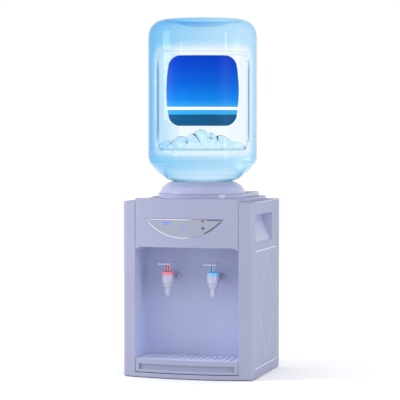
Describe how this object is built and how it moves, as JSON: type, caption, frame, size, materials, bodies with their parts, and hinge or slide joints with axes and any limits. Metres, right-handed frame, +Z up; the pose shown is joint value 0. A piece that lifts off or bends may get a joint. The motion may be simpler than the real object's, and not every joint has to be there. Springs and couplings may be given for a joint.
{
  "type": "countertop water dispenser",
  "caption": "Countertop hot and cold water dispenser with an inverted bottle, bowed front, two push-lever taps in a bay and a pull-out drip tray.",
  "frame": {"origin": "on the worktop under the middle of the object's overall box", "axes": "+Z up, -Y towards the person at the taps, +X to that person's right"},
  "size_m": [0.327, 0.297, 0.877],
  "materials": {
    "shell_plastic": "lavender grey ABS, satin gloss",
    "bay_plastic": "lavender grey ABS, a shade darker, satin gloss",
    "window_plastic": "pale grey glossy lens",
    "bottle_plastic": "clear blue polycarbonate",
    "label_film": "printed blue film, no text",
    "tap_plastic": "off-white tap plastic",
    "cold_plastic": "blue",
    "hot_plastic": "red",
    "white_plastic": "natural white",
    "black_plastic": "black",
    "steel": "stainless or plated steel",
    "heat_alloy": "extruded aluminium",
    "seal_rubber": "black rubber",
    "foam": "closed cell foam",
    "board": "green circuit board",
    "heater_brass": "mica band heater, brass cover",
    "ceramic_tile": "white ceramic tile"
  },
  "bodies": {
    "cabinet": {"back_panel": "bay_plastic", "base_plate": "steel", "bottle_collar": "shell_plastic", "cold_block": "heat_alloy", "cold_tap_body": "tap_plastic", "cold_tap_cap": "cold_plastic", "cold_tap_nut": "white_plastic", "cold_tap_spring": "steel", "cold_tube": "white_plastic", "control_panel": "shell_plastic", "control_window": "window_plastic", "cord_gland": "black_plastic", "drain_pipe": "white_plastic", "fan_frame": "black_plastic", "feed_probe": "white_plastic", "foot_1": "seal_rubber", "foot_2": "seal_rubber", "foot_3": "seal_rubber", "foot_4": "seal_rubber", "front_frame": "shell_plastic", "heat_sink": "heat_alloy", "heater_band": "heater_brass", "heater_lead": "hot_plastic", "hot_tank": "steel", "hot_tap_body": "tap_plastic", "hot_tap_cap": "hot_plastic", "hot_tap_nut": "white_plastic", "hot_tap_spring": "steel", "hot_tube": "white_plastic", "led_board": "board", "led_heating": "board", "led_power": "hot_plastic", "niche_liner": "bay_plastic", "peltier_module": "ceramic_tile", "power_lead": "black_plastic", "reservoir": "white_plastic", "reservoir_seal": "seal_rubber", "side_panel_left": "shell_plastic", "side_panel_right": "shell_plastic", "switch_housing": "black_plastic", "tank_feed_tube": "white_plastic", "tank_insulation": "foam", "tank_stand": "steel", "thermal_cutout": "black_plastic", "thermostat": "black_plastic", "top_cover": "shell_plastic", "vent_tube": "white_plastic"},
    "bottle": {"bottle_shell": "bottle_plastic", "bottle_label": "label_film", "bottle_cap": "cold_plastic"},
    "cold_plunger": {"cold_tap_stem": "cold_plastic"},
    "cold_lever": {"cold_tap_lever": "tap_plastic"},
    "hot_plunger": {"hot_tap_stem": "hot_plastic"},
    "hot_lever": {"hot_tap_lever": "tap_plastic"},
    "tray": {"drip_tray": "shell_plastic"},
    "grille": {"drip_grille": "bay_plastic"},
    "rocker": {"heater_switch": "hot_plastic"},
    "rotor": {"fan_rotor": "black_plastic"},
    "drain_plug": {"drain_cap": "white_plastic"}
  },
  "joints": [
    {"name": "bottle_lift_off", "type": "slide", "parent": "cabinet", "child": "bottle", "axis": [0, 0, 1], "range_m": [0, 0.12]},
    {"name": "cold_plunger_lift", "type": "slide", "parent": "cabinet", "child": "cold_plunger", "axis": [0, 0, 1], "range_m": [0, 0.004], "deforming": ["cold_tap_spring"]},
    {"name": "cold_lever_press", "type": "hinge", "parent": "cold_plunger", "child": "cold_lever", "pos_m": [0.0575, -0.099, 0.268], "axis": [1, 0, 0], "range_deg": [0, 22], "stiffness_Nm_per_rad": 0.043, "springref_deg": -22.06},
    {"name": "hot_plunger_lift", "type": "slide", "parent": "cabinet", "child": "hot_plunger", "axis": [0, 0, 1], "range_m": [0, 0.004], "deforming": ["hot_tap_spring"]},
    {"name": "hot_lever_press", "type": "hinge", "parent": "hot_plunger", "child": "hot_lever", "pos_m": [-0.0575, -0.099, 0.268], "axis": [1, 0, 0], "range_deg": [0, 22], "stiffness_Nm_per_rad": 0.043, "springref_deg": -22.06},
    {"name": "tray_slide", "type": "slide", "parent": "cabinet", "child": "tray", "axis": [0, -1, 0], "range_m": [0, 0.115]},
    {"name": "grille_lift_out", "type": "slide", "parent": "tray", "child": "grille", "axis": [0, 0, 1], "range_m": [0, 0.03]},
    {"name": "heater_switch_rock", "type": "hinge", "parent": "cabinet", "child": "rocker", "pos_m": [-0.12, 0.1405, 0.3], "axis": [1, 0, 0], "range_deg": [0, 16]},
    {"name": "fan_spin", "type": "hinge", "parent": "cabinet", "child": "rotor", "pos_m": [0, 0.132, 0.3724], "axis": [0, 1, 0], "continuous": true},
    {"name": "drain_cap_pull", "type": "slide", "parent": "cabinet", "child": "drain_plug", "axis": [0, 1, 0], "range_m": [0, 0.03]}
  ],
  "couplings": [
    {"joint": "cold_plunger_lift", "follows": "cold_lever_press", "m_per_rad": 0.0104},
    {"joint": "hot_plunger_lift", "follows": "hot_lever_press", "m_per_rad": 0.0104}
  ]
}
